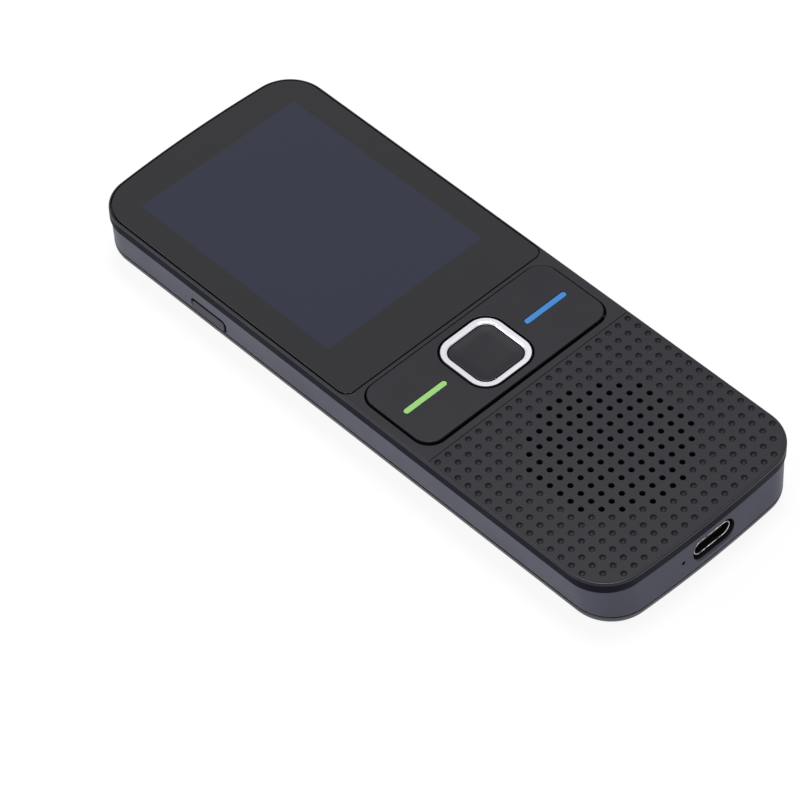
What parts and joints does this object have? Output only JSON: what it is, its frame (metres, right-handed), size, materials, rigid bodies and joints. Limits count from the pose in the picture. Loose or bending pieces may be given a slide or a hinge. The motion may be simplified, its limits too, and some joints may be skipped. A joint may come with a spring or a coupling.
{
  "type": "handheld voice translator",
  "caption": "Slim black pocket voice translator with a glass screen, a two-way talk rocker round a silver-ringed key, a perforated speaker panel, a side key and a charging socket.",
  "frame": {"origin": "middle of the underside, on the surface that the device lies on", "axes": "+X to the right seen from the front, +Y towards the screen end, +Z out of the screen"},
  "size_m": [0.05, 0.1328, 0.0121],
  "materials": {
    "cover_plastic": "satin",
    "band_plastic": "satin",
    "front_plastic": "satin",
    "key_plastic": "satin",
    "screen_glass": "polished",
    "display": "glossy",
    "green_plastic": "satin",
    "blue_plastic": "satin",
    "ring_silver": "satin",
    "silicone": "matte",
    "black_foam": "matte",
    "steel": "plain",
    "socket_steel": "plain",
    "board_green": "matte",
    "battery_foil": "satin",
    "tape": "matte",
    "lead_red": "matte",
    "ribbon_film": "satin",
    "paper_cone": "matte",
    "mesh_cloth": "matte",
    "black_plastic": "satin",
    "camera_glass": "polished",
    "ring_grey": "satin",
    "lens_clear": "polished"
  },
  "bodies": {
    "casing": {"back_cover": "cover_plastic", "middle_band": "band_plastic", "front_frame": "front_plastic", "grille_panel": "front_plastic", "screen_glass": "screen_glass", "glass_adhesive": "black_foam", "display_module": "display", "display_ribbon": "ribbon_film", "key_membrane": "silicone", "key_domes": "steel", "main_board": "board_green", "processor_shield": "steel", "battery": "battery_foil", "battery_tape": "tape", "battery_lead": "lead_red", "speaker_basket": "steel", "speaker_cone": "paper_cone", "speaker_gasket": "black_foam", "speaker_mesh": "mesh_cloth", "usb_board": "board_green", "usb_shell": "socket_steel", "usb_tongue": "black_plastic", "microphone": "steel", "microphone_boot": "silicone", "board_ribbon": "ribbon_film", "power_switch": "black_plastic", "camera_module": "black_plastic", "camera_window": "camera_glass", "camera_ring": "ring_grey", "flash_lens": "lens_clear", "board_screws": "steel", "front_screws": "steel", "antenna": "ribbon_film"},
    "rocker": {"rocker_key": "key_plastic", "green_bar": "green_plastic", "blue_bar": "blue_plastic"},
    "centre_button": {"centre_key": "key_plastic", "centre_key_ring": "ring_silver"},
    "power_button": {"power_key": "band_plastic"}
  },
  "joints": [
    {"name": "rocker_tilt", "type": "hinge", "parent": "casing", "child": "rocker", "pos_m": [0, -0.01178, 0.01005], "axis": [0, 1, 0], "range_deg": [-1, 1], "stiffness_Nm_per_rad": 1},
    {"name": "centre_press", "type": "slide", "parent": "casing", "child": "centre_button", "axis": [0, 0, -1], "range_m": [0, 0.0003], "stiffness_N_per_m": 2000},
    {"name": "power_press", "type": "slide", "parent": "casing", "child": "power_button", "axis": [1, 0, 0], "range_m": [0, 0.0003], "stiffness_N_per_m": 2000}
  ]
}
